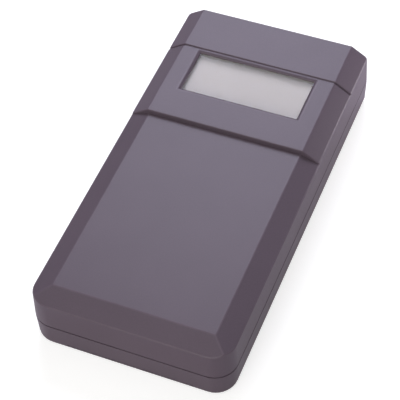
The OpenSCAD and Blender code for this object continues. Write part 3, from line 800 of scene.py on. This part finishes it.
cover_block = combine(cad_copy("top_cover", "cover_block"), cover_envelope(), "INTERSECT")
finished(cover_block, "cover", case_abs, "case", "top_cover")


# Case screws. Four self-tapping pan-head screws of zinc-plated steel, driven up from recesses in the
# underside into the cover's posts.
screw_set("case_screws", "long_screws", zinc, shank_radius=1.5 * MM, head_radius=2.8 * MM,
          head_height=2.0 * MM, pitch=1.3 * MM)


# Camera, at the photograph's viewing angle. It looks down on the near end from the right, through a long
# lens, at a point AIM_HEIGHT over the floor. AIM_RIGHT and AIM_UP shift it across the picture.
AZIMUTH, ELEVATION, ROLL = math.radians(24.561), math.radians(50.479), math.radians(3.483)
DISTANCE = 653.8 * MM
AIM_HEIGHT, AIM_RIGHT, AIM_UP = 15 * MM, -3.43 * MM, -4.91 * MM
IMAGE_WIDTH, FOCAL_PIXELS = 400, 1482.2
SENSOR_WIDTH = 36.0

level = Vector((math.cos(AZIMUTH), math.sin(AZIMUTH), 0))
back = Vector((math.sin(AZIMUTH) * math.cos(ELEVATION),
               -math.cos(AZIMUTH) * math.cos(ELEVATION), math.sin(ELEVATION)))
rise = back.cross(level)
right = level * math.cos(ROLL) - rise * math.sin(ROLL)
up = level * math.sin(ROLL) + rise * math.cos(ROLL)
camera = bpy.data.objects.new("camera", bpy.data.cameras.new("camera"))
camera.data.sensor_width = SENSOR_WIDTH
camera.data.lens = SENSOR_WIDTH * FOCAL_PIXELS / IMAGE_WIDTH
stand = Vector((0, 0, AIM_HEIGHT)) + right * AIM_RIGHT + up * AIM_UP + back * DISTANCE
camera.matrix_world = Matrix((
    (right.x, up.x, back.x, stand.x), (right.y, up.y, back.y, stand.y), (right.z, up.z, back.z, stand.z),
    (0, 0, 0, 1)))
scene.collection.objects.link(camera)
scene.camera = camera


# Stage. A plain white floor, a white surround and five soft lamps: a cool one behind, which puts a sheen
# on the faces that look up, broad ones above, in front and to the left, and a small one low beside the
# far end, which lights the right wall.
FLOOR_SIZE, FLOOR_DROP = 6.0, 0.05 * MM
# Distances from the middle of the object between which the floor turns plain white
FADE_START, FADE_END = 120 * MM, 400 * MM
BOUNCE_COLOUR, SHADE_COLOUR, FLOOR_GLOW = "#ddd2df", "#cdcdcd", 0.66
WHITE = (1.0, 1.0, 1.0, 1.0)
AMBIENT = (0.045, 0.045, 0.045, 1.0)
# Gloss shows the surround at this share, as a room shows around a white table
GLOSS_SHARE = 0.33


def seen_directly(tree):
    """1 for what the camera sees straight or through glass, a share of it in gloss, and 0 for the light
    that falls on the object."""
    rays = add(tree, "ShaderNodeLightPath").outputs
    straight = add(tree, "ShaderNodeMath", {
        0: rays["Is Camera Ray"], 1: rays["Is Transmission Ray"]}, operation="MAXIMUM")
    share = add(tree, "ShaderNodeMath", {
        0: rays["Is Glossy Ray"], 1: GLOSS_SHARE, 2: straight.outputs[0]}, operation="MULTIPLY_ADD")
    return share.outputs[0]


floor_mesh = bpy.data.meshes.new("floor")
reach = FLOOR_SIZE / 2
floor_mesh.from_pydata(
    [(-reach, -reach, -FLOOR_DROP), (reach, -reach, -FLOOR_DROP), (reach, reach, -FLOOR_DROP),
     (-reach, reach, -FLOOR_DROP)], [], [(0, 1, 2, 3)])
floor = link("floor", floor_mesh)
paper, tree, place = new_material("white_paper_floor")
# What the floor throws back on the object is a little dimmer and pinker than the white that is seen
sheet = add(tree, "ShaderNodeBsdfDiffuse", {"Color": linear(BOUNCE_COLOUR)})
soft = add(tree, "ShaderNodeBsdfDiffuse", {"Color": linear(SHADE_COLOUR)})
glow = add(tree, "ShaderNodeEmission", {"Color": WHITE, "Strength": FLOOR_GLOW})
pale = add(tree, "ShaderNodeAddShader", {0: soft.outputs[0], 1: glow.outputs[0]})
# Away from the object, where no shadow falls, the floor passes into the white surround
plain = add(tree, "ShaderNodeEmission", {"Color": WHITE, "Strength": 1.0})
away = add(tree, "ShaderNodeVectorMath", {0: place}, operation="LENGTH")
fade = add(tree, "ShaderNodeMapRange", {
    "Value": away.outputs["Value"], "From Min": FADE_START, "From Max": FADE_END})
open_floor = add(tree, "ShaderNodeMixShader", {
    0: fade.outputs[0], 1: pale.outputs[0], 2: plain.outputs[0]})
floor_seen = add(tree, "ShaderNodeMixShader", {
    0: seen_directly(tree), 1: sheet.outputs[0], 2: open_floor.outputs[0]})
add(tree, "ShaderNodeOutputMaterial", {"Surface": floor_seen.outputs[0]})
floor_mesh.materials.append(paper)

world = bpy.data.worlds.new("surround")
world.use_nodes = True
tree = world.node_tree
tree.nodes.clear()
dim = add(tree, "ShaderNodeBackground", {"Color": AMBIENT, "Strength": 1.0})
white = add(tree, "ShaderNodeBackground", {"Color": WHITE, "Strength": 1.0})
surround = add(tree, "ShaderNodeMixShader", {
    0: seen_directly(tree), 1: dim.outputs[0], 2: white.outputs[0]})
add(tree, "ShaderNodeOutputWorld", {"Surface": surround.outputs[0]})
scene.world = world


def softbox(name, place, size, power, colour):
    """A square lamp that faces the middle of the object. Its place and size are in metres."""
    data = bpy.data.lights.new(name, "AREA")
    data.size = size
    data.energy = power
    data.color = colour
    lamp = bpy.data.objects.new(name, data)
    lamp.location = place
    lamp.rotation_euler = Vector(place).to_track_quat("Z", "Y").to_euler()
    scene.collection.objects.link(lamp)


softbox("back_softbox", (-0.17, 0.49, 0.53), 0.42, 3.75, (0.82, 0.83, 1.0))
softbox("top_softbox", (0.0, 0.0, 1.2), 1.0, 2.55, (1.0, 0.96, 0.94))
softbox("front_softbox", (0.06, -0.86, 0.50), 0.6, 4.35, (1.0, 1.0, 0.95))
softbox("side_softbox", (-0.7, -0.7, 0.6), 0.8, 1.73, (1.0, 0.99, 0.95))
softbox("rim_softbox", (0.16, 0.16, 0.035), 0.06, 0.135, (1.0, 0.96, 1.0))
scene.view_settings.view_transform = "Standard"
